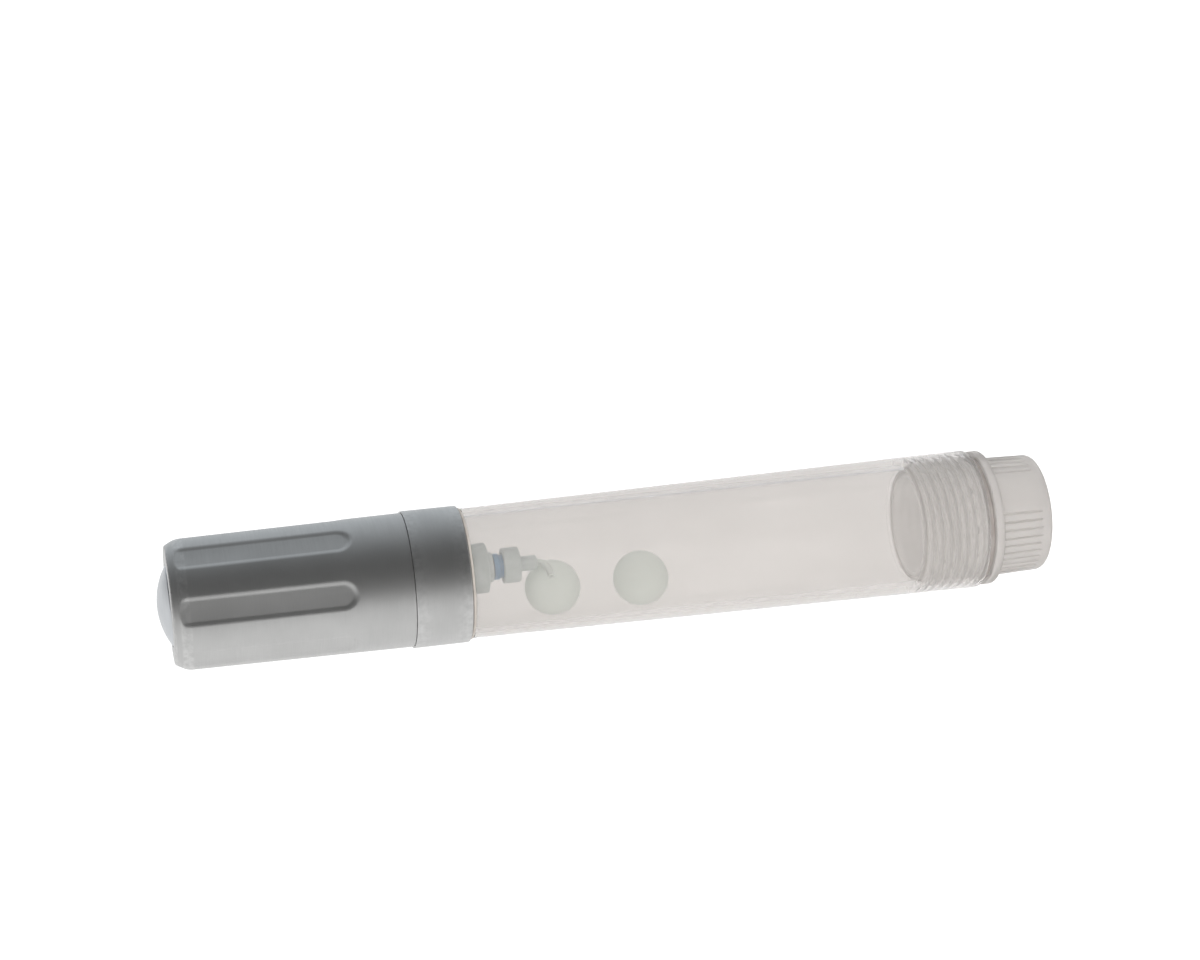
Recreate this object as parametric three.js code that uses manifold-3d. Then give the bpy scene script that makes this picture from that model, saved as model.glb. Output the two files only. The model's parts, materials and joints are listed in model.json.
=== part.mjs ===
// A hand-held float and sampling probe, lying on its side.
// X runs along the probe's axis, from the domed head (-X) to the knob of its screw plug (+X).
// Z is up, and the floor under the probe is z = 0. All sizes are in millimetres.

import * as THREE from 'three';
import { mergeVertices } from 'three/addons/utils/BufferGeometryUtils.js';
import Module from 'manifold-3d';

const wasm = await Module();
wasm.setup();

// ---- driving dimensions -------------------------------------------------------------------

const SEGMENTS = 24; // sides of the large turned pieces; a flat lies at the bottom
const SMALL_SEGMENTS = 12; // sides of the small turned pieces
const GAP = 0.3; // clearance between pieces that touch or slide
const FACE_GAP = 0.15; // clearance between flat faces that meet

// Stations along the axis. The whole probe is centred on x = 0.
const DOME_HEIGHT = 3.0;
const HEAD_LENGTH = 60.3;
const WASHER_STEP = 0.3; // the fine gap between head and collar
const COLLAR_LENGTH = 14.2;
const TUBE_LENGTH = 137.5; // the part of the tube that stands clear of the collar
const SEAL_STEP = 1.7; // plug seal with its two face gaps
const FLANGE_THICKNESS = 2.4;
const KNOB_LENGTH = 14.4;
const TOTAL_LENGTH = DOME_HEIGHT + HEAD_LENGTH + WASHER_STEP + COLLAR_LENGTH
  + TUBE_LENGTH + SEAL_STEP + FLANGE_THICKNESS + KNOB_LENGTH;

const X_TIP = -TOTAL_LENGTH / 2;
const X_FACE = X_TIP + DOME_HEIGHT;
const X_HEAD_END = X_FACE + HEAD_LENGTH;
const X_COLLAR = X_HEAD_END + WASHER_STEP;
const X_COLLAR_END = X_COLLAR + COLLAR_LENGTH;
const X_TUBE_END = X_COLLAR_END + TUBE_LENGTH;
const X_FLANGE = X_TUBE_END + SEAL_STEP;
const X_KNOB = X_FLANGE + FLANGE_THICKNESS;
const X_END = X_KNOB + KNOB_LENGTH;

// Head: a tapered shell with seven shallow flutes and a dome button in its face.
const HEAD_RIM_R = 15.05;
const HEAD_FRONT_R = 16.7;
const HEAD_BACK_R = 17.25;
const HEAD_CHAMFER = 3.1;
const HEAD_EDGE = 0.3;
const FACE_WALL = 2.6;
const DOME_R = 10.3;
const DOME_FLANGE_R = 11.6;
const DOME_FLANGE_THICKNESS = 1.5;
const BUTTON_BAY_R = 12.0;
const VALVE_BAY_R = 12.5;
const FLUTES = 7;
const FLUTE_WIDTH = 7.1;
const FLUTE_DEPTH = 0.8; // in the middle
const FLUTE_FLOOR_R = 45; // the floor is slightly hollow
const FLUTE_FLOOR_STEPS = 4;
const FLUTE_END_STEPS = 10;
const FLUTE_LENGTH = 45.8; // from the face to the round end
const FLUTE_PHASE = 21.3; // degrees above the horizontal, on the -Y side

// The valve that the dome button works.
const STEM_R = 1.8;
const STEM_BORE_R = 2.1;
const VALVE_SETBACK = 13.4; // from the face to the valve body
const VALVE_LENGTH = 10.5;
const STEM_OVERRUN = 2.0; // how far the stem stands out behind the valve body
const STEM_RING_R = 2.65;
const STEM_RING_SECTION = 0.5;
const STEM_GROOVE_R = 3.4;
const POPPET_R = 4.6;
const POPPET_LENGTH = 3.2;
const CLIP_INNER_R = 11.0;
const CLIP_OUTER_R = 13.1;
const CLIP_THICKNESS = 1.0;
const CLIP_SLOT = 5.0;
const SPRING_R = 6.2;
const SPRING_WIRE_R = 0.5;
const SPRING_TURNS = 4;

// Screw joint between head and adapter, and the seals beside it.
const HEAD_PITCH = 3.0;
const BOSS_R = 12.45;
const BOSS_THREAD_R = 13.35;
const SOCKET_R = 12.8;
const SOCKET_THREAD_R = 13.75;
const BOSS_ROOT_WIDTH = 1.6;
const BOSS_TIP_WIDTH = 0.7;
const SOCKET_ROOT_WIDTH = 2.4;
const SOCKET_TIP_WIDTH = 1.3;
const BOSS_LENGTH = 17.6;
const SOCKET_DEPTH = 19.0;
const MOUTH_R = 14.6;
const MOUTH_DEPTH = 3.4;
const HEAD_RING_SECTION = 0.85;
const WASHER_INNER_R = 14.6;
const WASHER_OUTER_R = 16.3;
const WASHER_RECESS = 0.4; // depth of its seat in the head

// Collar and the tube end that it holds.
const COLLAR_R = 17.65;
const COLLAR_BORE_R = 16.3;
const COLLAR_FILLET = 0.4;
const SPIGOT_R = 16.0;
const SPIGOT_LENGTH = 10.1;
const SHOULDER_STEP = 1.0; // from the collar to the tube's shoulder
const LIP_R = 17.0;
const LIP_WIDTH = 0.7;
const TUBE_FRONT_R = 16.75;
const TUBE_BACK_R = 18.38;
const TUBE_EDGE = 0.6;
const BORE_FRONT_R = 14.5;
const BORE_BACK_R = 14.95;
const NOSE_R = 14.2;
const NOSE_SETBACK = 1.1; // the adapter's nose ends this far inside the collar
const NOSE_GROOVE_DEPTH = 1.5;
const NOSE_RING_SECTION = 0.8;
const PASSAGE_R = 2.5;

// Screw plug: a pipe thread of eleven turns to the inch, a flange and a ribbed knob.
const PLUG_PITCH = 2.309;
const PLUG_R = 15.0;
const PLUG_THREAD_R = 16.4;
const NUT_R = 15.3;
const NUT_THREAD_R = 16.8;
const PLUG_ROOT_WIDTH = 1.45;
const PLUG_TIP_WIDTH = 0.3;
const NUT_ROOT_WIDTH = 2.1;
const NUT_TIP_WIDTH = 0.85;
const PLUG_DEPTH = 16.9; // from the tube's end to the plug's inner end
const NUT_DEPTH = 17.8;
const NUT_LEAD = 0.9; // chamfer at the mouth of the tube's thread
const CUP_R = 12.6;
const CUP_WALL = 3.0;
const PLUG_THREAD_START = 1.7; // from the plug's inner end to the middle of the first turn
const PLUG_THREAD_RUNOUT = 0.6; // from the middle of the last turn to the tube's end
const FLANGE_R = 17.9;
const FLANGE_EDGE = 0.5;
const KNOB_R = 15.8;
const KNOB_END_R = 15.4;
const KNOB_ROUND = 1.6;
const KNOB_RIM = 3.2; // smooth rim at the knob's end
const PANELS = 3; // wide smooth panels round the knob, with grip grooves between them
const PANEL_ANGLE = 46; // degrees
const PANEL_PHASE = 29; // degrees above the horizontal, on the -Y side, where a panel starts
const PANEL_GROOVES = 10; // grip grooves from one panel to the next
const GROOVE_WIDTH = 0.5;
const GROOVE_DEPTH = 0.4; // at the knob's end, and a little more towards the flange
const SEAL_INNER_R = 15.3;
const SEAL_OUTER_R = 16.9;

// Hose fitting inside the tube. Its axis lies a little above the tube's, clear of the balls.
const FITTING_RISE = 1.0;
const BASE_R = 6.5;
const BASE_THICKNESS = 5.5;
const BASE_SETBACK = 1.0; // from the collar's end
const SHANK_R = 4.0;
const SHANK_LENGTH = 6.5;
const STUB_R = 2.5;
const STUB_BORE_R = 1.5;
const STUB_SEAT_DEPTH = 3.0;
const NECK_R = 3.9;
const NECK_LENGTH = 1.45;
const RING_R = 3.4;
const RING_THICKNESS = 1.4;
const RING_TRAVEL_GAP = 0.9;
const COLLET_R = 3.0;
const COLLET_LENGTH = 2.6;
const COLLET_GRIP = 0.2; // clearance of the collet on the hose
const FITTING_R = 4.6;
const FITTING_LENGTH = 4.45;
const FITTING_EDGE = 0.5;
const NOZZLE_R = 1.95;
const NOZZLE_LENGTH = 4.6;
const NOZZLE_ROOT = 1.5;
const TIP_R = 0.9;
const TIP_BORE_R = 0.4;
// How the soft tip bends beyond the nozzle: the control points of a curve that starts at the
// nozzle's end, from the axis forwards and then down past the ball.
const TIP_BEND = [[0, 0, 0], [2.0, -0.1, 0.2], [2.7, -3.0, 0.2], [2.8, -6.0, -1.2]];
const TIP_STEPS = 14;

// Two loose balls on the bottom of the tube.
const BALL_R = 7.3;
const BALL_X = [-15.2, 8.4];
const BALL_SEGMENTS = 16;
const BALL_RINGS = 12;

const FLOOR = TUBE_BACK_R;

// ---- materials ----------------------------------------------------------------------------

function material(color, roughness, metalness) {
  return new THREE.MeshStandardMaterial({ color, roughness, metalness });
}

const satinSteel = () => material(0xbcbdbf, 0.55, 0.9);
const paleMetal = () => material(0xc5c8cb, 0.35, 0.8);
const springSteel = () => material(0xcfd0d1, 0.3, 1.0);
const naturalPlastic = () => material(0xdad5cf, 0.5, 0.0);
const greyPlastic = () => material(0xa6afaf, 0.5, 0.0);
const paleRubber = () => material(0xcfcac2, 0.7, 0.0);
const darkRubber = () => material(0x2b2d2f, 0.8, 0.0);
const blueAcetal = () => material(0x2f6f9e, 0.4, 0.0);
const ballGlass = () => material(0xe3f3f0, 0.3, 0.0);

// ---- solids -------------------------------------------------------------------------------

// Six times the volume inside a closed mesh: negative when its faces point inwards.
function signedVolume(positions, indices) {
  const a = new THREE.Vector3();
  const b = new THREE.Vector3();
  const c = new THREE.Vector3();
  let sum = 0;
  for (let i = 0; i < indices.length; i += 3) {
    a.fromArray(positions, indices[i] * 3);
    b.fromArray(positions, indices[i + 1] * 3);
    c.fromArray(positions, indices[i + 2] * 3);
    sum += a.dot(b.cross(c));
  }
  return sum;
}

// Turns a closed three.js geometry into a solid for joining and cutting.
function solid(geometry) {
  geometry.deleteAttribute('normal');
  geometry.deleteAttribute('uv');
  const merged = mergeVertices(geometry, 1e-4);
  const positions = new Float32Array(merged.attributes.position.array);
  const corners = merged.index.array;
  const indices = [];
  for (let i = 0; i < corners.length; i += 3) {
    const [a, b, c] = [corners[i], corners[i + 1], corners[i + 2]];
    if (a !== b && b !== c && c !== a) {
      indices.push(a, b, c);
    }
  }
  if (signedVolume(positions, indices) < 0) {
    indices.reverse();
  }
  const triVerts = new Uint32Array(indices);
  return new wasm.Manifold(new wasm.Mesh({ numProp: 3, vertProperties: positions, triVerts }));
}

// A solid turned about the X axis from a closed outline of [x, radius] points.
// Its flats, not its corners, lie at the stated radius.
function turned(outline, segments = SEGMENTS) {
  const scale = 1 / Math.cos(Math.PI / segments);
  const points = outline.map(([x, radius]) => new THREE.Vector2(radius * scale, x));
  const geometry = new THREE.LatheGeometry(points, segments, Math.PI / segments);
  geometry.rotateZ(-Math.PI / 2);
  return solid(geometry);
}

// A ring between two stations and two radii.
function ring(x0, x1, inner, outer, segments = SEGMENTS) {
  return turned([[x0, inner], [x0, outer], [x1, outer], [x1, inner], [x0, inner]], segments);
}

// A plain round bar between two stations.
function bar(x0, x1, radius, segments = SEGMENTS) {
  return turned([[x0, 0], [x0, radius], [x1, radius], [x1, 0]], segments);
}

// A round-section seal ring about the X axis.
function roundRing(x, radius, section, segments = SEGMENTS) {
  const sides = 6;
  const outline = [];
  for (let i = 0; i <= sides; i += 1) {
    const angle = (i % sides) * 2 * Math.PI / sides;
    outline.push([x + section * Math.cos(angle), radius + section * Math.sin(angle)]);
  }
  return turned(outline, segments);
}

// A right-hand helix about the X axis, passing station x0 at angle 0.
// Its frames stay radial, so that a section swept along it never twists.
class Helix extends THREE.Curve {
  constructor(radius, pitch, x0, startAngle, endAngle) {
    super();
    Object.assign(this, { radius, pitch, x0, startAngle, endAngle });
  }

  angleAt(t) {
    return this.startAngle + (this.endAngle - this.startAngle) * t;
  }

  getPoint(t, target = new THREE.Vector3()) {
    const angle = this.angleAt(t);
    const x = this.x0 + this.pitch * angle / (2 * Math.PI);
    return target.set(x, this.radius * Math.cos(angle), this.radius * Math.sin(angle));
  }

  getPointAt(t, target) {
    return this.getPoint(t, target);
  }

  computeFrenetFrames(segments) {
    const tangents = [];
    const normals = [];
    const binormals = [];
    for (let i = 0; i <= segments; i += 1) {
      const angle = this.angleAt(i / segments);
      normals.push(new THREE.Vector3(0, Math.cos(angle), Math.sin(angle)));
      binormals.push(new THREE.Vector3(-1, 0, 0));
      tangents.push(new THREE.Vector3(0, -Math.sin(angle), Math.cos(angle)));
    }
    return { tangents, normals, binormals };
  }
}

// A shape swept along a helix.
function swept(shape, helix, stepsPerTurn) {
  const turns = (helix.endAngle - helix.startAngle) / (2 * Math.PI);
  const steps = Math.round(turns * stepsPerTurn);
  return solid(new THREE.ExtrudeGeometry(shape, { steps, extrudePath: helix, bevelEnabled: false }));
}

// The ridge or groove of a thread: a trapezium from rootR out to tipR between two stations.
// Its corners fall in line with the corners of the turned pieces.
function threadForm(x0, x1, pitch, rootR, tipR, rootWidth, tipWidth) {
  const scale = 1 / Math.cos(Math.PI / SEGMENTS);
  const depth = (tipR - rootR) * scale;
  const shape = new THREE.Shape([
    new THREE.Vector2(0, -rootWidth / 2),
    new THREE.Vector2(depth, -tipWidth / 2),
    new THREE.Vector2(depth, tipWidth / 2),
    new THREE.Vector2(0, rootWidth / 2),
  ]);
  const cornerAngle = (x) => {
    const steps = (x - X_COLLAR) / pitch * SEGMENTS;
    return 2 * Math.PI * (Math.round(steps) + 0.5) / SEGMENTS;
  };
  const helix = new Helix(rootR * scale, pitch, X_COLLAR, cornerAngle(x0), cornerAngle(x1));
  return swept(shape, helix, SEGMENTS);
}

// Turns a solid made along +Y about the X axis, so that it faces the given angle
// above the horizontal on the -Y side.
function facing(body, elevation) {
  return body.rotate([180 - elevation, 0, 0]);
}

const group = new THREE.Group();
group.position.set(0, 0, FLOOR);

// Adds a finished solid to the probe as a named mesh.
function add(name, body, finish, rise = 0) {
  const mesh = body.getMesh();
  const geometry = new THREE.BufferGeometry();
  geometry.setAttribute('position', new THREE.Float32BufferAttribute(mesh.vertProperties, 3));
  geometry.setIndex(new THREE.BufferAttribute(new Uint32Array(mesh.triVerts), 1));
  geometry.computeVertexNormals();
  const node = new THREE.Mesh(geometry, finish);
  node.name = name;
  node.position.z = rise;
  group.add(node);
}

// ---- head ---------------------------------------------------------------------------------

const X_VALVE = X_FACE + VALVE_SETBACK;
const X_VALVE_END = X_VALVE + VALVE_LENGTH;
const X_CLIP = X_VALVE_END + FACE_GAP;
const X_SOCKET = X_HEAD_END - SOCKET_DEPTH;
const X_MOUTH = X_HEAD_END - MOUTH_DEPTH;
const X_BUTTON_FLANGE = X_FACE + FACE_WALL + GAP;
const X_BUTTON_BACK = X_BUTTON_FLANGE + DOME_FLANGE_THICKNESS;

// One flute's cutter: a bar with a slightly round underside, parallel to the tapered surface,
// trimmed in plan to a strip with a half-round end.
function fluteCutter() {
  const half = FLUTE_WIDTH / 2;
  const overrun = 4;
  const top = HEAD_BACK_R + overrun;
  const section = new THREE.Shape();
  section.moveTo(-half, top);
  for (let i = 0; i <= FLUTE_FLOOR_STEPS; i += 1) {
    const across = FLUTE_WIDTH * (i / FLUTE_FLOOR_STEPS - 0.5);
    const sag = FLUTE_FLOOR_R - Math.sqrt(FLUTE_FLOOR_R ** 2 - across ** 2);
    section.lineTo(across, HEAD_FRONT_R - FLUTE_DEPTH + sag);
  }
  section.lineTo(half, top);
  const depth = FLUTE_LENGTH + overrun;
  const blank = new THREE.ExtrudeGeometry(section, { depth, bevelEnabled: false });
  blank.rotateY(Math.PI / 2);
  blank.rotateZ(Math.atan((HEAD_BACK_R - HEAD_FRONT_R) / HEAD_LENGTH));
  blank.translate(X_FACE, 0, 0);

  const plan = new THREE.Shape();
  plan.moveTo(X_FACE - overrun, -half);
  for (let i = 0; i <= FLUTE_END_STEPS; i += 1) {
    const angle = Math.PI * (i / FLUTE_END_STEPS - 0.5);
    plan.lineTo(X_FACE + FLUTE_LENGTH - half * (1 - Math.cos(angle)), half * Math.sin(angle));
  }
  plan.lineTo(X_FACE - overrun, half);
  const strip = new THREE.ExtrudeGeometry(plan, { depth: top * 2, bevelEnabled: false });
  strip.rotateX(-Math.PI / 2);
  return solid(blank).intersect(solid(strip));
}

function headShell() {
  let body = turned([
    [X_FACE, DOME_R + GAP],
    [X_FACE, HEAD_RIM_R],
    [X_FACE + HEAD_CHAMFER, HEAD_FRONT_R],
    [X_HEAD_END - HEAD_EDGE, HEAD_BACK_R],
    [X_HEAD_END, HEAD_BACK_R - HEAD_EDGE],
    [X_HEAD_END, WASHER_OUTER_R + GAP],
    [X_HEAD_END - WASHER_RECESS, WASHER_OUTER_R + GAP],
    [X_HEAD_END - WASHER_RECESS, MOUTH_R],
    [X_MOUTH, MOUTH_R],
    [X_MOUTH, SOCKET_R],
    [X_SOCKET, SOCKET_R],
    [X_SOCKET, VALVE_BAY_R],
    [X_CLIP + CLIP_THICKNESS + FACE_GAP, VALVE_BAY_R],
    [X_CLIP + CLIP_THICKNESS + FACE_GAP, CLIP_OUTER_R + GAP],
    [X_CLIP - FACE_GAP, CLIP_OUTER_R + GAP],
    [X_CLIP - FACE_GAP, VALVE_BAY_R],
    [X_VALVE - FACE_GAP, VALVE_BAY_R],
    [X_VALVE - FACE_GAP, BUTTON_BAY_R],
    [X_FACE + FACE_WALL, BUTTON_BAY_R],
    [X_FACE + FACE_WALL, DOME_R + GAP],
    [X_FACE, DOME_R + GAP],
  ]);
  for (let i = 0; i < FLUTES; i += 1) {
    body = body.subtract(facing(fluteCutter(), FLUTE_PHASE + 360 / FLUTES * i));
  }
  const groove = threadForm(X_SOCKET + HEAD_PITCH / 2, X_MOUTH + HEAD_PITCH / 2, HEAD_PITCH,
    SOCKET_R - GAP, SOCKET_THREAD_R, SOCKET_ROOT_WIDTH, SOCKET_TIP_WIDTH);
  return body.subtract(groove);
}

function domeButton() {
  const sphereR = (DOME_R ** 2 + DOME_HEIGHT ** 2) / (2 * DOME_HEIGHT);
  const halfAngle = Math.asin(DOME_R / sphereR);
  const capSteps = 7;
  const outline = [];
  for (let i = 0; i <= capSteps; i += 1) {
    const angle = halfAngle * i / capSteps;
    outline.push([X_TIP + sphereR * (1 - Math.cos(angle)), sphereR * Math.sin(angle)]);
  }
  outline.push(
    [X_BUTTON_FLANGE, DOME_R],
    [X_BUTTON_FLANGE, DOME_FLANGE_R],
    [X_BUTTON_BACK, DOME_FLANGE_R],
    [X_BUTTON_BACK, STEM_R],
    [X_VALVE_END + STEM_OVERRUN, STEM_R],
    [X_VALVE_END + STEM_OVERRUN, 0],
  );
  return turned(outline);
}

function buttonSpring() {
  const sides = 6;
  const wire = new THREE.Shape();
  for (let i = 0; i < sides; i += 1) {
    const angle = 2 * Math.PI * i / sides;
    const point = [SPRING_WIRE_R * Math.cos(angle), SPRING_WIRE_R * Math.sin(angle)];
    if (i === 0) {
      wire.moveTo(...point);
    } else {
      wire.lineTo(...point);
    }
  }
  wire.closePath();
  const x0 = X_BUTTON_BACK + FACE_GAP + SPRING_WIRE_R;
  const x1 = X_VALVE - FACE_GAP - SPRING_WIRE_R;
  const pitch = (x1 - x0) / SPRING_TURNS;
  const coil = new Helix(SPRING_R, pitch, x0, 0, 2 * Math.PI * SPRING_TURNS);
  return swept(wire, coil, SMALL_SEGMENTS);
}

function valveBody() {
  const grooveStart = X_VALVE + VALVE_LENGTH / 2 - STEM_RING_SECTION - GAP;
  const grooveEnd = X_VALVE + VALVE_LENGTH / 2 + STEM_RING_SECTION + GAP;
  return turned([
    [X_VALVE, STEM_BORE_R],
    [X_VALVE, VALVE_BAY_R - GAP],
    [X_VALVE_END, VALVE_BAY_R - GAP],
    [X_VALVE_END, STEM_BORE_R],
    [grooveEnd, STEM_BORE_R],
    [grooveEnd, STEM_GROOVE_R],
    [grooveStart, STEM_GROOVE_R],
    [grooveStart, STEM_BORE_R],
    [X_VALVE, STEM_BORE_R],
  ]);
}

// The rubber cap pushed on to the stem's end, which closes the valve bore.
function poppetSeal() {
  const x0 = X_VALVE_END + FACE_GAP;
  const hole = X_VALVE_END + STEM_OVERRUN + FACE_GAP;
  return turned([
    [x0, STEM_R + GAP],
    [x0, POPPET_R],
    [x0 + POPPET_LENGTH, POPPET_R],
    [x0 + POPPET_LENGTH, 0],
    [hole, 0],
    [hole, STEM_R + GAP],
    [x0, STEM_R + GAP],
  ], SMALL_SEGMENTS);
}

function stemOring() {
  const x = (X_VALVE + X_VALVE_END) / 2;
  return roundRing(x, STEM_RING_R, STEM_RING_SECTION, SMALL_SEGMENTS);
}

function retainingClip() {
  const slot = new THREE.BoxGeometry(CLIP_THICKNESS * 4, CLIP_SLOT, CLIP_OUTER_R * 2);
  slot.translate(X_CLIP, 0, CLIP_OUTER_R);
  return ring(X_CLIP, X_CLIP + CLIP_THICKNESS, CLIP_INNER_R, CLIP_OUTER_R).subtract(solid(slot));
}

add('head_shell', headShell(), satinSteel());
add('dome_button', domeButton(), paleMetal());
add('button_spring', buttonSpring(), springSteel());
add('valve_body', valveBody(), greyPlastic());
add('stem_oring', stemOring(), darkRubber());
add('poppet_seal', poppetSeal(), darkRubber());
add('retaining_clip', retainingClip(), springSteel());

// ---- collar and adapter -------------------------------------------------------------------

const X_SPIGOT = X_COLLAR_END - SPIGOT_LENGTH;
const X_NOSE_END = X_COLLAR_END - NOSE_SETBACK;
const X_BOSS = X_COLLAR + GAP - BOSS_LENGTH;
const X_HEAD_RING = X_HEAD_END - MOUTH_DEPTH / 2;
const X_NOSE_RING = (X_SPIGOT + X_NOSE_END) / 2;

function headWasher() {
  const x0 = X_HEAD_END - WASHER_RECESS + FACE_GAP;
  return ring(x0, X_COLLAR - FACE_GAP, WASHER_INNER_R, WASHER_OUTER_R);
}

function collar() {
  const filletSteps = 2;
  const outline = [[X_COLLAR, COLLAR_BORE_R], [X_COLLAR, COLLAR_R - HEAD_EDGE]];
  outline.push([X_COLLAR + HEAD_EDGE, COLLAR_R]);
  for (let i = 0; i <= filletSteps; i += 1) {
    const angle = Math.PI / 2 * i / filletSteps;
    outline.push([
      X_COLLAR_END - COLLAR_FILLET * (1 - Math.sin(angle)),
      COLLAR_R - COLLAR_FILLET * (1 - Math.cos(angle)),
    ]);
  }
  outline.push([X_COLLAR_END, COLLAR_BORE_R], [X_COLLAR, COLLAR_BORE_R]);
  return turned(outline);
}

// The turned piece that joins head to tube: a threaded boss, a flange inside the collar,
// and a nose inside the tube with a groove for its seal.
function adapter() {
  const noseHalf = NOSE_RING_SECTION + FACE_GAP;
  let body = turned([
    [X_BOSS, PASSAGE_R],
    [X_BOSS, BOSS_R - HEAD_EDGE],
    [X_BOSS + HEAD_EDGE, BOSS_R],
    [X_COLLAR + GAP, BOSS_R],
    [X_COLLAR + GAP, COLLAR_BORE_R - GAP],
    [X_SPIGOT - GAP, COLLAR_BORE_R - GAP],
    [X_SPIGOT - GAP, NOSE_R],
    [X_NOSE_RING - noseHalf, NOSE_R],
    [X_NOSE_RING - noseHalf, NOSE_R - NOSE_GROOVE_DEPTH],
    [X_NOSE_RING + noseHalf, NOSE_R - NOSE_GROOVE_DEPTH],
    [X_NOSE_RING + noseHalf, NOSE_R],
    [X_NOSE_END, NOSE_R],
    [X_NOSE_END, PASSAGE_R],
    [X_BOSS, PASSAGE_R],
  ]);
  const ridge = threadForm(X_BOSS + HEAD_PITCH / 2, X_MOUTH - HEAD_PITCH / 2, HEAD_PITCH,
    BOSS_R - GAP, BOSS_THREAD_R, BOSS_ROOT_WIDTH, BOSS_TIP_WIDTH);
  const seatStart = X_NOSE_END - SHANK_LENGTH - GAP;
  const seat = bar(seatStart, X_NOSE_END + GAP, SHANK_R + GAP, SMALL_SEGMENTS);
  body = body.add(ridge);
  return body.subtract(seat.translate([0, 0, FITTING_RISE]));
}

function headOring() {
  const radius = BOSS_R + FACE_GAP + HEAD_RING_SECTION;
  return roundRing(X_HEAD_RING, radius, HEAD_RING_SECTION);
}

function noseOring() {
  const radius = NOSE_R - NOSE_GROOVE_DEPTH + FACE_GAP + NOSE_RING_SECTION;
  return roundRing(X_NOSE_RING, radius, NOSE_RING_SECTION);
}

function tubeLip() {
  const x0 = X_COLLAR_END + FACE_GAP;
  return ring(x0, x0 + LIP_WIDTH, SPIGOT_R + GAP, LIP_R);
}

add('head_washer', headWasher(), darkRubber());
add('collar', collar(), satinSteel());
add('adapter', adapter(), greyPlastic());
add('head_oring', headOring(), darkRubber());
add('nose_oring', noseOring(), darkRubber());
add('tube_lip', tubeLip(), paleRubber());

// ---- sample tube --------------------------------------------------------------------------

const X_SHOULDER = X_COLLAR_END + SHOULDER_STEP;
const X_NUT = X_TUBE_END - NUT_DEPTH;

function sampleTube() {
  const body = turned([
    [X_SPIGOT, BORE_FRONT_R],
    [X_SPIGOT, SPIGOT_R],
    [X_SHOULDER, SPIGOT_R],
    [X_SHOULDER, TUBE_FRONT_R],
    [X_TUBE_END - TUBE_EDGE, TUBE_BACK_R],
    [X_TUBE_END, TUBE_BACK_R - TUBE_EDGE],
    [X_TUBE_END, NUT_THREAD_R],
    [X_TUBE_END - NUT_LEAD, NUT_R],
    [X_NUT, NUT_R],
    [X_NUT, BORE_BACK_R],
    [X_SPIGOT, BORE_FRONT_R],
  ]);
  const groove = threadForm(X_NUT + PLUG_PITCH / 2, X_TUBE_END + PLUG_PITCH, PLUG_PITCH,
    NUT_R - GAP, NUT_THREAD_R, NUT_ROOT_WIDTH, NUT_TIP_WIDTH);
  return body.subtract(groove);
}

add('sample_tube', sampleTube(), naturalPlastic());

// ---- screw plug ---------------------------------------------------------------------------

const X_PLUG = X_TUBE_END - PLUG_DEPTH;

// One straight grip groove along the knob.
function gripGroove() {
  const length = KNOB_LENGTH - KNOB_RIM;
  const height = GROOVE_DEPTH * 4;
  const groove = new THREE.BoxGeometry(length, height, GROOVE_WIDTH);
  groove.translate(X_KNOB + GAP + length / 2, KNOB_END_R - GROOVE_DEPTH + height / 2, 0);
  return solid(groove);
}

function screwPlug() {
  const roundSteps = 4;
  const outline = [
    [X_PLUG, CUP_R],
    [X_PLUG, PLUG_R - FLANGE_EDGE],
    [X_PLUG + FLANGE_EDGE, PLUG_R],
    [X_FLANGE, PLUG_R],
    [X_FLANGE, FLANGE_R],
    [X_KNOB - FLANGE_EDGE, FLANGE_R],
    [X_KNOB, FLANGE_R - FLANGE_EDGE],
    [X_KNOB, KNOB_R],
  ];
  for (let i = 0; i <= roundSteps; i += 1) {
    const angle = Math.PI / 2 * i / roundSteps;
    outline.push([
      X_END - KNOB_ROUND * (1 - Math.sin(angle)),
      KNOB_END_R - KNOB_ROUND * (1 - Math.cos(angle)),
    ]);
  }
  outline.push([X_END, 0], [X_END - CUP_WALL, 0], [X_END - CUP_WALL, CUP_R], [X_PLUG, CUP_R]);
  let body = turned(outline);
  const ridge = threadForm(X_PLUG + PLUG_THREAD_START, X_TUBE_END - PLUG_THREAD_RUNOUT, PLUG_PITCH,
    PLUG_R - GAP, PLUG_THREAD_R, PLUG_ROOT_WIDTH, PLUG_TIP_WIDTH);
  body = body.add(ridge);
  const grooveStep = (360 / PANELS - PANEL_ANGLE) / (PANEL_GROOVES - 1);
  for (let panel = 0; panel < PANELS; panel += 1) {
    for (let i = 0; i < PANEL_GROOVES; i += 1) {
      const elevation = PANEL_PHASE + 360 / PANELS * panel - grooveStep * i;
      body = body.subtract(facing(gripGroove(), elevation));
    }
  }
  return body;
}

function plugSeal() {
  return ring(X_TUBE_END + FACE_GAP, X_FLANGE - FACE_GAP, SEAL_INNER_R, SEAL_OUTER_R);
}

add('plug_seal', plugSeal(), paleRubber());
add('screw_plug', screwPlug(), naturalPlastic());

// ---- hose fitting -------------------------------------------------------------------------

const X_BASE = X_COLLAR_END + BASE_SETBACK;
const X_BASE_END = X_BASE + BASE_THICKNESS;
const X_SHANK = X_NOSE_END - SHANK_LENGTH;
const X_NECK_END = X_BASE_END + NECK_LENGTH;
const X_RING = X_NECK_END + GAP;
const X_FITTING = X_RING + RING_THICKNESS + RING_TRAVEL_GAP;
const X_FITTING_END = X_FITTING + FITTING_LENGTH;
const X_NOZZLE_END = X_FITTING_END + NOZZLE_LENGTH;
const X_COLLET_END = X_RING + RING_THICKNESS + COLLET_LENGTH;
const X_STUB_END = X_COLLET_END - GAP;
const X_NOZZLE_ROOT = X_FITTING_END - NOZZLE_ROOT;

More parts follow.
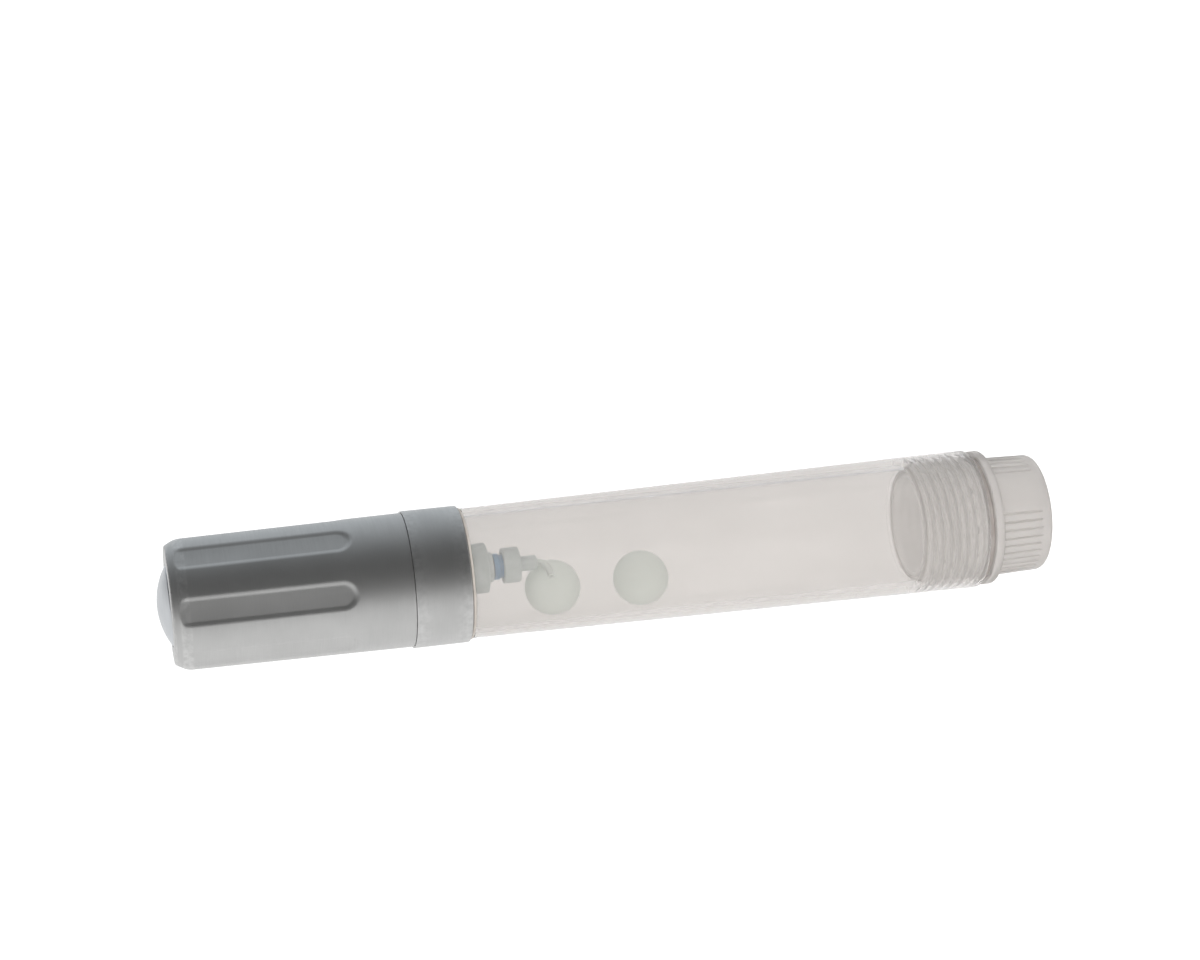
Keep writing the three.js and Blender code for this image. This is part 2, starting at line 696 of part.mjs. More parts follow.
function fittingBase() {
  return turned([
    [X_SHANK, STUB_BORE_R],
    [X_SHANK, SHANK_R],
    [X_BASE, SHANK_R],
    [X_BASE, BASE_R - FITTING_EDGE],
    [X_BASE + FITTING_EDGE, BASE_R],
    [X_BASE_END - FITTING_EDGE, BASE_R],
    [X_BASE_END, BASE_R - FITTING_EDGE],
    [X_BASE_END, NECK_R],
    [X_NECK_END, NECK_R],
    [X_NECK_END, STUB_R + GAP],
    [X_NECK_END - STUB_SEAT_DEPTH, STUB_R + GAP],
    [X_NECK_END - STUB_SEAT_DEPTH, STUB_BORE_R],
    [X_SHANK, STUB_BORE_R],
  ], SMALL_SEGMENTS);
}

function stubHose() {
  const x0 = X_NECK_END - STUB_SEAT_DEPTH + FACE_GAP;
  return ring(x0, X_STUB_END, STUB_BORE_R, STUB_R, SMALL_SEGMENTS);
}

// The blue ring that is pressed towards the fitting to let the hose go, with its collet.
function releaseRing() {
  return turned([
    [X_RING, STUB_R + COLLET_GRIP],
    [X_RING, RING_R],
    [X_RING + RING_THICKNESS, RING_R],
    [X_RING + RING_THICKNESS, COLLET_R],
    [X_COLLET_END, COLLET_R],
    [X_COLLET_END, STUB_R + COLLET_GRIP],
    [X_RING, STUB_R + COLLET_GRIP],
  ], SMALL_SEGMENTS);
}

function fittingBody() {
  return turned([
    [X_FITTING, COLLET_R + GAP],
    [X_FITTING, FITTING_R - FITTING_EDGE],
    [X_FITTING + FITTING_EDGE, FITTING_R],
    [X_FITTING_END - FITTING_EDGE, FITTING_R],
    [X_FITTING_END, FITTING_R - FITTING_EDGE],
    [X_FITTING_END, NOZZLE_R + GAP],
    [X_NOZZLE_ROOT - FACE_GAP, NOZZLE_R + GAP],
    [X_NOZZLE_ROOT - FACE_GAP, COLLET_R + GAP],
    [X_FITTING, COLLET_R + GAP],
  ], SMALL_SEGMENTS);
}

function nozzle() {
  return turned([
    [X_NOZZLE_ROOT, TIP_R + GAP],
    [X_NOZZLE_ROOT, NOZZLE_R],
    [X_NOZZLE_END - FITTING_EDGE, NOZZLE_R],
    [X_NOZZLE_END, NOZZLE_R - FITTING_EDGE],
    [X_NOZZLE_END, TIP_R + GAP],
    [X_NOZZLE_ROOT, TIP_R + GAP],
  ], SMALL_SEGMENTS);
}

// A short soft tube that sits in the nozzle and bends beyond its end.
function nozzleTip() {
  const bend = TIP_BEND.map(([x, y, z]) => new THREE.Vector3(X_NOZZLE_END + x, y, z));
  const path = new THREE.CurvePath();
  path.add(new THREE.LineCurve3(new THREE.Vector3(X_NOZZLE_ROOT + FACE_GAP, 0, 0), bend[0]));
  path.add(new THREE.CubicBezierCurve3(...bend));
  const section = new THREE.Shape().absarc(0, 0, TIP_R, 0, 2 * Math.PI);
  section.holes.push(new THREE.Path().absarc(0, 0, TIP_BORE_R, 0, 2 * Math.PI));
  return solid(new THREE.ExtrudeGeometry(section, {
    steps: TIP_STEPS,
    curveSegments: SMALL_SEGMENTS / 2,
    extrudePath: path,
    bevelEnabled: false,
  }));
}

add('fitting_base', fittingBase(), greyPlastic(), FITTING_RISE);
add('stub_hose', stubHose(), darkRubber(), FITTING_RISE);
add('release_ring', releaseRing(), blueAcetal(), FITTING_RISE);
add('fitting_body', fittingBody(), greyPlastic(), FITTING_RISE);
add('nozzle', nozzle(), greyPlastic(), FITTING_RISE);
add('nozzle_tip', nozzleTip(), greyPlastic(), FITTING_RISE);

// ---- balls --------------------------------------------------------------------------------

function boreRadiusAt(x) {
  const share = (x - X_SPIGOT) / (X_NUT - X_SPIGOT);
  return BORE_FRONT_R + (BORE_BACK_R - BORE_FRONT_R) * share;
}

// A ball lying on the bottom of the bore.
function ball(x) {
  const sphere = new THREE.SphereGeometry(BALL_R, BALL_SEGMENTS, BALL_RINGS);
  sphere.translate(x, 0, BALL_R + GAP - boreRadiusAt(x));
  return solid(sphere);
}

BALL_X.forEach((x, index) => add(`ball_${index + 1}`, ball(x), ballGlass()));

export default group;
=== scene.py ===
"""A hand-held float and sampling probe, lying on a pale table under soft studio light.

Each visible piece is a fine mesh built round its CAD node, and most of them are turned. Lengths
are in millimetres until a mesh is made, and metres after that. X runs along the probe, from its
domed head to the knob of its screw plug. An angle round the axis is an elevation above the
horizontal on the side that faces the camera, which is -Y.
"""

import json
import math

import bmesh
import bpy
import numpy as np
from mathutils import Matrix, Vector


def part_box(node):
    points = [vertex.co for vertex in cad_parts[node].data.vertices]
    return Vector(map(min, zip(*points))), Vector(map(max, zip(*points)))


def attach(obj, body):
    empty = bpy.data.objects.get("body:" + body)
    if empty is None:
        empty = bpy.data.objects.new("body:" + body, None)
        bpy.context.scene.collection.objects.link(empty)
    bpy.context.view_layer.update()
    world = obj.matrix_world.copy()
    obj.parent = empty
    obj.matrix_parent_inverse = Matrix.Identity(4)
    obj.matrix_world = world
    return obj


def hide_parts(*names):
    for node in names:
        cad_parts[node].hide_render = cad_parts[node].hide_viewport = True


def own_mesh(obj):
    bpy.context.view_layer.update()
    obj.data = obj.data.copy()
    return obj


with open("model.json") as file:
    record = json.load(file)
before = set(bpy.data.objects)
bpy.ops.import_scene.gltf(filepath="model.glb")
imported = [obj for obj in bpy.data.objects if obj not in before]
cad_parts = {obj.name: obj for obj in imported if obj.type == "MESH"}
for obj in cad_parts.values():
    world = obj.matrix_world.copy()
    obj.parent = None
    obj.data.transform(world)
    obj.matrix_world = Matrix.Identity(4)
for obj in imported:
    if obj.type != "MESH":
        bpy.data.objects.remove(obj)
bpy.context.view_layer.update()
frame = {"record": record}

MM = 0.001
TURN = 2 * math.pi

# ---- sizes -------------------------------------------------------------------------------------

GAP = 0.3  # between pieces that slide past each other
FACE_GAP = 0.15  # between faces that meet
EASE = 0.25  # how far an ordinary moulded or turned edge is rounded
SHARP = 0.1  # how far a crisp edge is rounded

# Head
HEAD_CHAMFER = 3.1
HEAD_RIM_R = 15.05
HEAD_FRONT_R = 16.7
DOME_R = 10.3
FACE_WALL = 2.6
BUTTON_BAY_R = 12.0
VALVE_BAY_R = 12.5
FLUTES = 7
FLUTE_WIDTH = 7.1
FLUTE_DEPTH = 0.7
FLUTE_FLOOR_R = 200
FLUTE_LENGTH = 45.8
FLUTE_PHASE = 21.3
FLUTE_WALL = 1.6  # how wide the eased wall of a flute is
FLUTE_WALL_START = 0.4  # the share of that wall outside the flute's nominal edge
STEM_R = 1.8
STEM_BORE_R = 2.1
STEM_GROOVE_R = 3.4
SPRING_R = 6.2
SPRING_WIRE_R = 0.5
SPRING_TURNS = 4
CLIP_INNER_R = 11.0
CLIP_SLOT = 5.0
SEAL_HEIGHT = 0.86  # a round seal's squeezed height, as a share of its width

# Screw joint between head and adapter
HEAD_PITCH = 3.0
BOSS_R = 12.45
BOSS_THREAD_R = 13.35
BOSS_WIDTHS = (1.6, 0.7)
SOCKET_R = 12.8
SOCKET_THREAD_R = 13.75
SOCKET_WIDTHS = (2.4, 1.3)
SOCKET_DEPTH = 19.0
MOUTH_R = 14.6
MOUTH_DEPTH = 3.4

# Collar, adapter and tube
COLLAR_BORE_R = 16.3
COLLAR_EDGE = 0.35
SEAM = 0.11  # how far head and collar each reach into the fine gap between them
NOSE_R = 14.2
NOSE_GROOVE_DEPTH = 1.5
PASSAGE_R = 2.5
SPIGOT_R = 16.0
TUBE_FRONT_R = 16.75
BORE_FRONT_R = 14.5
BORE_BACK_R = 14.95

# Screw plug and its thread
PLUG_PITCH = 2.309
PLUG_R = 15.0
PLUG_THREAD_R = 16.4
PLUG_WIDTHS = (1.45, 0.3)
PLUG_LEAD = 0.6
PLUG_RIM = 0.45  # how far the scuffed rim of the plug's mouth reaches
FLANGE_SCUFF = 0.2  # how far the scuffing reaches past the flange
CREST_START = 0.6  # from which share of its height a thread's crest is darker and rougher
# how far the thread's crests are darkened and roughened
CREST_DARKENING = 0.8
NUT_R = 15.3
NUT_THREAD_R = 16.8
NUT_WIDTHS = (2.1, 0.85)
NUT_DEPTH = 17.8
NUT_LEAD = 0.9
NUT_FROST = 0.82
CUP_R = 12.6
CUP_WALL = 3.0
FLANGE_THICKNESS = 2.4
FLANGE_R = 17.9
KNOB_LENGTH = 14.4
KNOB_R = 15.8
KNOB_END_R = 15.4
KNOB_ROUND = 1.6
KNOB_RIM = 3.2
PANELS = 3
PANEL_ANGLE = 46
PANEL_PHASE = 29
PANEL_GROOVES = 10
GROOVE_WIDTH = 0.74
GROOVE_WALL = 0.3
GROOVE_RUN_OUT = 0.5
GROOVE_DEPTH = 0.6

# Hose fitting
SHANK_R = 4.0
SHANK_LENGTH = 6.5
BASE_THICKNESS = 5.5
NECK_R = 3.9
NECK_LENGTH = 1.45
STUB_R = 2.5
STUB_BORE_R = 1.5
COLLET_R = 3.0
COLLET_GRIP = 0.2
RING_THICKNESS = 1.4
NOZZLE_R = 1.95
TIP_R = 0.9
TIP_BORE_R = 0.4
TIP_BEND = ((0, 0, 0), (2.0, -0.1, 0.2), (2.7, -3.0, 0.2), (2.8, -6.0, -1.2))


def span(node):
    """The stations where a CAD node starts and ends along the axis, in millimetres."""
    low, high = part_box(node)
    return low.x / MM, high.x / MM


def outer_radius(node):
    """A CAD node's radius about its own axis, in millimetres."""
    low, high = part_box(node)
    return (high.z - low.z) / 2 / MM


def axis_height(node):
    """The height of a CAD node's axis, in metres."""
    low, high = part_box(node)
    return (high.z + low.z) / 2


X_FACE, X_HEAD_END = span("head_shell")
X_TIP = span("dome_button")[0]
X_COLLAR, X_COLLAR_END = span("collar")
X_SPIGOT, X_TUBE_END = span("sample_tube")
X_PLUG, X_END = span("screw_plug")
X_KNOB = X_END - KNOB_LENGTH
X_FLANGE = X_KNOB - FLANGE_THICKNESS
X_SOCKET = X_HEAD_END - SOCKET_DEPTH
X_MOUTH = X_HEAD_END - MOUTH_DEPTH
X_NUT = X_TUBE_END - NUT_DEPTH
HEAD_BACK_R = outer_radius("head_shell")
COLLAR_R = outer_radius("collar")
TUBE_BACK_R = outer_radius("sample_tube")
AXIS_Z = axis_height("sample_tube")
FITTING_Z = axis_height("fitting_body")


# ---- meshes ------------------------------------------------------------------------------------

PLAIN_STEP = 6.0  # between the rows of a plain stretch
LONG_STEP = 4.0  # the same, on the tube and the plug
FLUTE_STEP = 0.4
KNOB_STEP = 0.3
COARSE_THREAD_STEP = 0.2
FINE_THREAD_STEP = 0.12
NEAR = 0.05  # how far a row may lie from the radius it belongs to
ROUND_SHARE = 0.45  # how much of a straight stretch a rounded corner may take up
ROUND_STEPS = 5
WIDE_EASE = 1
WIDE_ROUND_STEPS = 14
SHARP_ANGLE = 40
WELD = 1e-6


def traced(corners, closed, ease, spacing):
    """The rows of an outline through the corners: each corner is rounded, and each straight
    stretch is cut into steps no longer than spacing(x, r). A corner may carry its own ease.
    Returns rows of x, r and 1 on a rounded corner or 0 elsewhere."""
    points = [np.array(c[:2], float) for c in corners]
    eases = [c[2] if len(c) > 2 else ease for c in corners]
    count = len(points)
    arcs = []
    for i, point in enumerate(points):
        if (not closed and i in (0, count - 1)) or eases[i] <= 0:
            arcs.append([point])
            continue
        before, after = points[i - 1], points[(i + 1) % count]
        reach_in = min(eases[i], np.linalg.norm(before - point) * ROUND_SHARE)
        reach_out = min(eases[i], np.linalg.norm(after - point) * ROUND_SHARE)
        start = point + (before - point) / np.linalg.norm(before - point) * reach_in
        end = point + (after - point) / np.linalg.norm(after - point) * reach_out
        steps = ROUND_STEPS if eases[i] < WIDE_EASE else WIDE_ROUND_STEPS
        arcs.append([(1 - t) ** 2 * start + 2 * t * (1 - t) * point + t * t * end
                     for t in np.linspace(0, 1, steps)])
    rows = []
    for i, arc in enumerate(arcs):
        mark = 1.0 if len(arc) > 1 else 0.0
        rows += [(p[0], p[1], mark) for p in arc]
        if i + 1 == count and not closed:
            break
        a, b = arc[-1], arcs[(i + 1) % count][0]
        middle = (a + b) / 2
        steps = max(1, math.ceil(np.linalg.norm(b - a) / spacing(middle[0], middle[1])))
        rows += [(*(a + (b - a) * k / steps), 0.0) for k in range(1, steps)]
    return np.array(rows)


def plain_spacing(x, r):
    return PLAIN_STEP


def round_axis(x, r, angle, centre):
    """Points in metres, from stations, radii and angles about an axis at a height."""
    x, r, angle = np.broadcast_arrays(x, r, angle)
    return np.stack([x * MM, -r * np.cos(angle) * MM, r * np.sin(angle) * MM + centre], axis=2)


def grid_mesh(name, points, closed_rows=True, closed_columns=True, capped=False):
    """A mesh through a grid of points. Its rows and its columns each close on themselves or stay
    open, and the two ends of an open tube can be capped."""
    rows, columns = points.shape[:2]
    index = np.arange(rows * columns).reshape(rows, columns)
    below, right = np.roll(index, -1, axis=0), np.roll(index, -1, axis=1)
    quads = np.stack([index, below, np.roll(below, -1, axis=1), right], axis=2)
    quads = quads[:rows if closed_rows else -1, :columns if closed_columns else -1]
    faces = quads.reshape(-1, 4).tolist()
    if capped:
        ends = index if closed_columns else index.T
        faces += [ends[0].tolist()[::-1], ends[-1].tolist()]
    mesh = bpy.data.meshes.new(name)
    mesh.from_pydata(points.reshape(-1, 3).tolist(), [], faces)
    return mesh


def turned(name, corners, closed=True, columns=192, ease=EASE, spacing=plain_spacing,
           relief=None, height=AXIS_Z, frosted=None):
    """A mesh turned about the probe's axis, or about another height, from an outline.
    relief(x, r, angle) gives back the radius where the surface isn't plain, and
    frosted(x, r, angle) how cloudy the plastic is there, from 0 to 1."""
    rows = traced(corners, closed, ease, spacing)
    x = np.repeat(rows[:, :1], columns, axis=1)
    r = np.repeat(rows[:, 1:2], columns, axis=1)
    angle = np.broadcast_to(np.arange(columns) * TURN / columns, r.shape)
    if relief:
        r = relief(x, r, angle)
    mesh = grid_mesh(name, round_axis(x, r, angle, height), closed_rows=closed)
    edge = mesh.attributes.new("edge", "FLOAT", "POINT")
    edge.data.foreach_set("value", np.repeat(rows[:, 2], columns).astype(np.float32))
    if frosted:
        frost = frosted(x, r, angle).astype(np.float32)
        mesh.attributes.new("frost", "FLOAT", "POINT").data.foreach_set("value", frost.ravel())
    return finished(name, mesh)


def finished(name, mesh):
    """Closes a mesh's poles, turns its faces outwards, smooths it and puts it in the scene."""
    shape = bmesh.new()
    shape.from_mesh(mesh)
    bmesh.ops.remove_doubles(shape, verts=shape.verts, dist=WELD)
    bmesh.ops.recalc_face_normals(shape, faces=shape.faces)
    if shape.calc_volume(signed=True) < 0:
        bmesh.ops.reverse_faces(shape, faces=shape.faces)
    shape.to_mesh(mesh)
    shape.free()
    mesh.shade_smooth()
    mesh.set_sharp_from_angle(angle=math.radians(SHARP_ANGLE))
    piece = bpy.data.objects.new(name, mesh)
    bpy.context.scene.collection.objects.link(piece)
    return piece


def smooth_step(t):
    t = np.clip(t, 0, 1)
    return t * t * (3 - 2 * t)


def helix_rise(x, angle, x0, x1, pitch, widths):
    """How much of a right-hand thread's height there is at each place, from 0 to 1. The turns
    keep step with the CAD threads, which pass the collar's edge on the +Y side."""
    root_width, tip_width = widths
    along = (x - X_COLLAR) / pitch - (math.pi - angle) / TURN
    offset = np.abs(along - np.round(along)) * pitch
    rise = smooth_step((root_width / 2 - offset) / ((root_width - tip_width) / 2))
    lead = smooth_step((x - x0) / (pitch / 2)) * smooth_step((x1 - x) / (pitch / 2))
    return rise * lead


BALL_STEPS = 96
BALL_SEAM = 0.03
BALL_SEAM_STEPS = 0.8


def ball(node):
    """A moulded ball with a fine parting line, from the box of its CAD ball."""
    x0, x1 = span(node)
    radius = (x1 - x0) / 2
    centre = (x1 + x0) / 2
    corners = []
    for k in range(BALL_STEPS + 1):
        turn = math.pi * k / BALL_STEPS
        seam = BALL_SEAM * math.exp(-((k - BALL_STEPS / 2) / BALL_SEAM_STEPS) ** 2)
        swell = radius - BALL_SEAM + seam
        corners.append((centre - swell * math.cos(turn), swell * math.sin(turn), 0))
    return turned(node + "_surface", corners, closed=False, columns=128,
                  height=axis_height(node))


# ---- materials ---------------------------------------------------------------------------------

class NodeTree:
    """A short way to add nodes and links to a material or a world."""

    def __init__(self, owner, shader, place):
        owner.use_nodes = True
        self.tree = owner.node_tree
        self.shader = next(n for n in self.tree.nodes if n.type == shader)
        self.place = self.add("ShaderNodeTexCoord").outputs[place]

    def add(self, kind, **settings):
        node = self.tree.nodes.new(kind)
        for key, value in settings.items():
            setattr(node, key, value)
        return node

    def link(self, source, target):
        self.tree.links.new(source, target)

    def ranged(self, source, low, high, start=0.35, end=0.65, interpolation="LINEAR"):
        node = self.add("ShaderNodeMapRange", interpolation_type=interpolation)
        node.inputs["From Min"].default_value = start
        node.inputs["From Max"].default_value = end
        node.inputs["To Min"].default_value = low
        node.inputs["To Max"].default_value = high
        self.link(source, node.inputs["Value"])
        return node.outputs["Result"]

    def blended(self, factor, first, second):
        node = self.add("ShaderNodeMix", data_type="RGBA")
        self.link(factor, node.inputs["Factor"])
        for socket, value in ((node.inputs["A"], first), (node.inputs["B"], second)):
            if isinstance(value, tuple):
                socket.default_value = (*value, 1)
            else:
                self.link(value, socket)
        return node.outputs["Result"]


class Finish(NodeTree):
    """One Principled material."""

    def __init__(self, name):
        self.material = bpy.data.materials.new(name)
        super().__init__(self.material, "BSDF_PRINCIPLED", "Object")

    def set(self, **values):
        for key, value in values.items():
            self.shader.inputs[key.replace("_", " ")].default_value = value

    def stretched(self, scale):
        mapping = self.add("ShaderNodeMapping")
        mapping.inputs["Scale"].default_value = scale
        self.link(self.place, mapping.inputs["Vector"])
        return mapping.outputs["Vector"]

    def noise(self, scale, detail=3.0, roughness=0.5, stretch=(1, 1, 1)):
        noise = self.add("ShaderNodeTexNoise")
        noise.inputs["Scale"].default_value = scale
        noise.inputs["Detail"].default_value = detail
        noise.inputs["Roughness"].default_value = roughness
        self.link(self.stretched(stretch), noise.inputs["Vector"])
        return noise.outputs["Fac"]

    def attribute(self, name):
        return self.add("ShaderNodeAttribute", attribute_name=name).outputs["Fac"]

    def reckoned(self, operation, first, second):
        node = self.add("ShaderNodeMath", operation=operation)
        self.link(first, node.inputs[0])
        self.link(second, node.inputs[1])
        return node.outputs["Value"]

    def bump(self, source, depth, strength=1.0, normal=None):
        node = self.add("ShaderNodeBump")
        node.inputs["Distance"].default_value = depth
        node.inputs["Strength"].default_value = strength
        self.link(source, node.inputs["Height"])
        if normal:
            self.link(normal, node.inputs["Normal"])
        return node.outputs["Normal"]

    def colour(self, source):
        self.link(source, self.shader.inputs["Base Color"])

    def roughness(self, source):
        self.link(source, self.shader.inputs["Roughness"])

    def normal(self, source):
        self.link(source, self.shader.inputs["Normal"])


EDGE_HIGHLIGHT_GAIN = 1.3  # how much brighter the metal is painted along a rounded edge, as a highlight


def turned_metal(name, light, dark, roughness):
    """Satin metal with fine lathe lines round it, faint handling marks and painted edge
    highlights.
    """
    n = Finish(name)
    n.set(Metallic=1.0)
    cloud = n.noise(90, detail=4)
    lines = n.noise(1, detail=2, roughness=0.6, stretch=(9000, 120, 120))
    base = n.blended(n.ranged(cloud, 0, 1), dark, light)
    # Painted highlight: the colour is brightened in noisy patches along the rounded edges.
    recoloured = n.reckoned("MULTIPLY", n.attribute("edge"), n.ranged(n.noise(700), 0, 0.5))
    highlight_colour = tuple(c * EDGE_HIGHLIGHT_GAIN for c in light)
    n.colour(n.blended(recoloured, base, highlight_colour))
    n.roughness(n.ranged(lines, roughness - 0.04, roughness + 0.05))
    scratches = n.noise(1, detail=1, roughness=0.7, stretch=(500, 2600, 2600))
    fine = n.bump(lines, 0.000006, 0.5)
    n.normal(n.bump(scratches, 0.000004, 0.3, fine))
    return n.material


CLEAN_PLASTIC = (0.98, 0.97, 0.96)


def frosted_plastic(name, light, dark, transmission, roughness, ior):
    """Natural polypropylene: light passes through it, and its outside is faintly clouded. The
    two values of roughness are for the clean and for the clouded plastic."""
    n = Finish(name)
    n.set(Transmission_Weight=transmission, IOR=ior, Specular_IOR_Level=0.5)
    frost = n.attribute("frost")
    cloud = n.noise(45, detail=3)
    flow = n.noise(1, detail=3, stretch=(18, 160, 160))
    shade = n.ranged(n.reckoned("MULTIPLY", cloud, flow), 0, 1, 0.12, 0.4)
    n.colour(n.blended(frost, CLEAN_PLASTIC, n.blended(shade, dark, light)))
    clean, clouded = roughness
    grain = n.ranged(n.noise(300), clean - 0.03, clean + 0.03)
    n.roughness(n.reckoned("ADD", grain, n.ranged(frost, 0, clouded - clean, 0, 1)))
    fine = n.bump(n.noise(2500, detail=2), 0.00001, 0.25)
    n.normal(n.bump(flow, 0.000015, 0.2, fine))
    return n.material


def moulded_plastic(name, light, dark, roughness, specular=0.5):
    """Opaque moulded plastic with a fine grain."""
    n = Finish(name)
    n.set(Specular_IOR_Level=specular)
    n.colour(n.blended(n.ranged(n.noise(220), 0, 1), dark, light))
    n.roughness(n.ranged(n.noise(900), roughness - 0.05, roughness + 0.08))
    n.normal(n.bump(n.noise(3000, detail=2), 0.00002, 0.3))
    return n.material


def moulded_rubber(name, light, dark):
    """Matt rubber with a dusty bloom."""
    n = Finish(name)
    n.set(Specular_IOR_Level=0.3)
    n.colour(n.blended(n.ranged(n.noise(400, detail=4), 0, 1), dark, light))
    n.roughness(n.ranged(n.noise(1200), 0.62, 0.85))
    n.normal(n.bump(n.noise(4500, detail=3), 0.00002, 0.4))
    return n.material


def clear_ball(name, light, dark):
    """A faintly green ball that light passes through."""
    n = Finish(name)
    n.set(Transmission_Weight=0.3, IOR=1.2)
    n.colour(n.blended(n.ranged(n.noise(110, detail=3), 0, 1), dark, light))
    n.roughness(n.ranged(n.noise(260), 0.30, 0.40))
    n.normal(n.bump(n.noise(1500, detail=2), 0.00001, 0.2))
    return n.material


FINISHES = {
    "satin_metal": turned_metal("satin_metal", (0.48, 0.48, 0.475), (0.45, 0.45, 0.445), 0.50),
    "dome_metal": turned_metal("dome_metal", (0.50, 0.515, 0.53), (0.47, 0.485, 0.50), 0.42),
    "spring_steel": turned_metal("spring_steel", (0.66, 0.67, 0.68), (0.55, 0.56, 0.57), 0.25),
    "grey_plastic": moulded_plastic("grey_plastic", (0.53, 0.59, 0.58), (0.47, 0.53, 0.52), 0.45),
    "dark_rubber": moulded_rubber("dark_rubber", (0.045, 0.046, 0.05), (0.022, 0.023, 0.025)),
    "pale_rubber": moulded_rubber("pale_rubber", (0.50, 0.46, 0.42), (0.44, 0.40, 0.36)),
    "natural_plastic": frosted_plastic("natural_plastic", (0.66, 0.635, 0.615),
                                       (0.62, 0.595, 0.575), 0.82, (0.07, 0.10), 1.08),
    "blue_plastic": moulded_plastic("blue_plastic", (0.05, 0.22, 0.40), (0.04, 0.18, 0.34), 0.3),
    "ball_glass": clear_ball("ball_glass", (0.93, 0.99, 0.95), (0.88, 0.95, 0.90)),
}
# Pieces that are seen through milky plastic, or are thicker, look unlike their slot's colour.
PLUG_PLASTIC = frosted_plastic("plug_plastic", (0.63, 0.605, 0.585), (0.585, 0.56, 0.54),
                               0.55, (0.07, 0.36), 1.06)
SEAL_RUBBER = moulded_rubber("seal_rubber", (0.36, 0.33, 0.31), (0.30, 0.27, 0.25))
TIP_PLASTIC = moulded_plastic("tip_plastic", (0.72, 0.78, 0.74), (0.66, 0.72, 0.68), 0.4)
SLOTS = {row["node"]: row["material_slot"] for row in frame["record"]["subparts"]}
BODIES = {
    node: body
    for body, nodes in frame["record"]["behaviour"]["bodies"].items()
    for node in nodes
}


def dress(piece, node, finish=None):
    """Gives a piece its CAD node's body and finish, and lets it stand for that node."""
    piece.data.materials.append(finish or FINISHES[SLOTS[node]])
    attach(piece, BODIES[node])
    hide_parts(node)
    return piece


# ---- head --------------------------------------------------------------------------------------

def flute_relief(x, r, angle):
    """Cuts the flutes, shallow slots with a half-round end and a nearly flat floor that follows
    the head's taper, and the thread of the socket inside."""
    half = FLUTE_WIDTH / 2
    slope = (HEAD_BACK_R - HEAD_FRONT_R) / (X_HEAD_END - X_FACE)
    pitch = TURN / FLUTES
    turn = (angle - math.radians(FLUTE_PHASE)) / pitch
    across = r * np.sin((turn - np.round(turn)) * pitch)
    beyond = np.maximum(0, x - (X_FACE + FLUTE_LENGTH - half))
    inset = half - np.hypot(across, beyond)
    floor = HEAD_FRONT_R - FLUTE_DEPTH + slope * (x - X_FACE) + across ** 2 / (2 * FLUTE_FLOOR_R)
    wall = smooth_step(inset / FLUTE_WALL + FLUTE_WALL_START)
    depth = np.maximum(0, r - np.hypot(across, floor)) * wall
    thread = helix_rise(x, angle, X_SOCKET, X_HEAD_END, HEAD_PITCH, SOCKET_WIDTHS)
    outside = r > HEAD_RIM_R - EASE * 2
    inside = (np.abs(r - SOCKET_R) < GAP) & (x > X_SOCKET) & (x < X_MOUTH)
    cut = np.where(inside, r + thread * (SOCKET_THREAD_R - SOCKET_R), r)
    return np.where(outside, r - depth, cut)


def head_spacing(x, r):
    """Close rows outside, for the flutes, and in the socket, for its thread."""
    if r > HEAD_RIM_R:
        return FLUTE_STEP
    return COARSE_THREAD_STEP if abs(r - SOCKET_R) < GAP and x > X_SOCKET else PLAIN_STEP


def head_shell():
    x_valve = span("valve_body")[0]
    clip = span("retaining_clip")
    clip_r = outer_radius("retaining_clip")
    washer = span("head_washer")
    washer_r = outer_radius("head_washer")
    return turned("head_shell_surface", [
        (X_FACE, DOME_R + GAP, 0.2),
        (X_FACE, HEAD_RIM_R, 0.5),
        (X_FACE + HEAD_CHAMFER, HEAD_FRONT_R, 1.2),
        (X_HEAD_END + SEAM, HEAD_BACK_R, SHARP),
        (X_HEAD_END + SEAM, washer_r + GAP, SHARP),
        (washer[0] - FACE_GAP, washer_r + GAP, SHARP),
        (washer[0] - FACE_GAP, MOUTH_R, SHARP),
        (X_MOUTH, MOUTH_R),
        (X_MOUTH, SOCKET_R, 0),
        (X_SOCKET, SOCKET_R, 0),
        (X_SOCKET, VALVE_BAY_R),
        (clip[1] + FACE_GAP, VALVE_BAY_R),
        (clip[1] + FACE_GAP, clip_r + GAP),
        (clip[0] - FACE_GAP, clip_r + GAP),
        (clip[0] - FACE_GAP, VALVE_BAY_R),
        (x_valve - FACE_GAP, VALVE_BAY_R),
        (x_valve - FACE_GAP, BUTTON_BAY_R),
        (X_FACE + FACE_WALL, BUTTON_BAY_R),
        (X_FACE + FACE_WALL, DOME_R + GAP),
    ], columns=FLUTES * 72, spacing=head_spacing, relief=flute_relief)


DOME_STEPS = 40


def dome_button():
    x_flange = X_FACE + FACE_WALL + GAP
    x_back = span("button_spring")[0] - FACE_GAP
    height = X_FACE - X_TIP
    sphere_r = (DOME_R ** 2 + height ** 2) / (2 * height)
    half_angle = math.asin((DOME_R - EASE) / sphere_r)
    corners = []
    for k in range(DOME_STEPS + 1):
        turn = half_angle * k / DOME_STEPS
        corners.append((X_TIP + sphere_r * (1 - math.cos(turn)), sphere_r * math.sin(turn), 0))
    flange_r = outer_radius("dome_button")
    x_stem = span("dome_button")[1]
    corners += [
        (X_FACE + EASE, DOME_R, 0),
        (x_flange, DOME_R),
        (x_flange, flange_r),
        (x_back, flange_r),
        (x_back, STEM_R),
        (x_stem, STEM_R),
        (x_stem, 0, 0),
    ]
    return turned("dome_button_surface", corners, closed=False, columns=160)


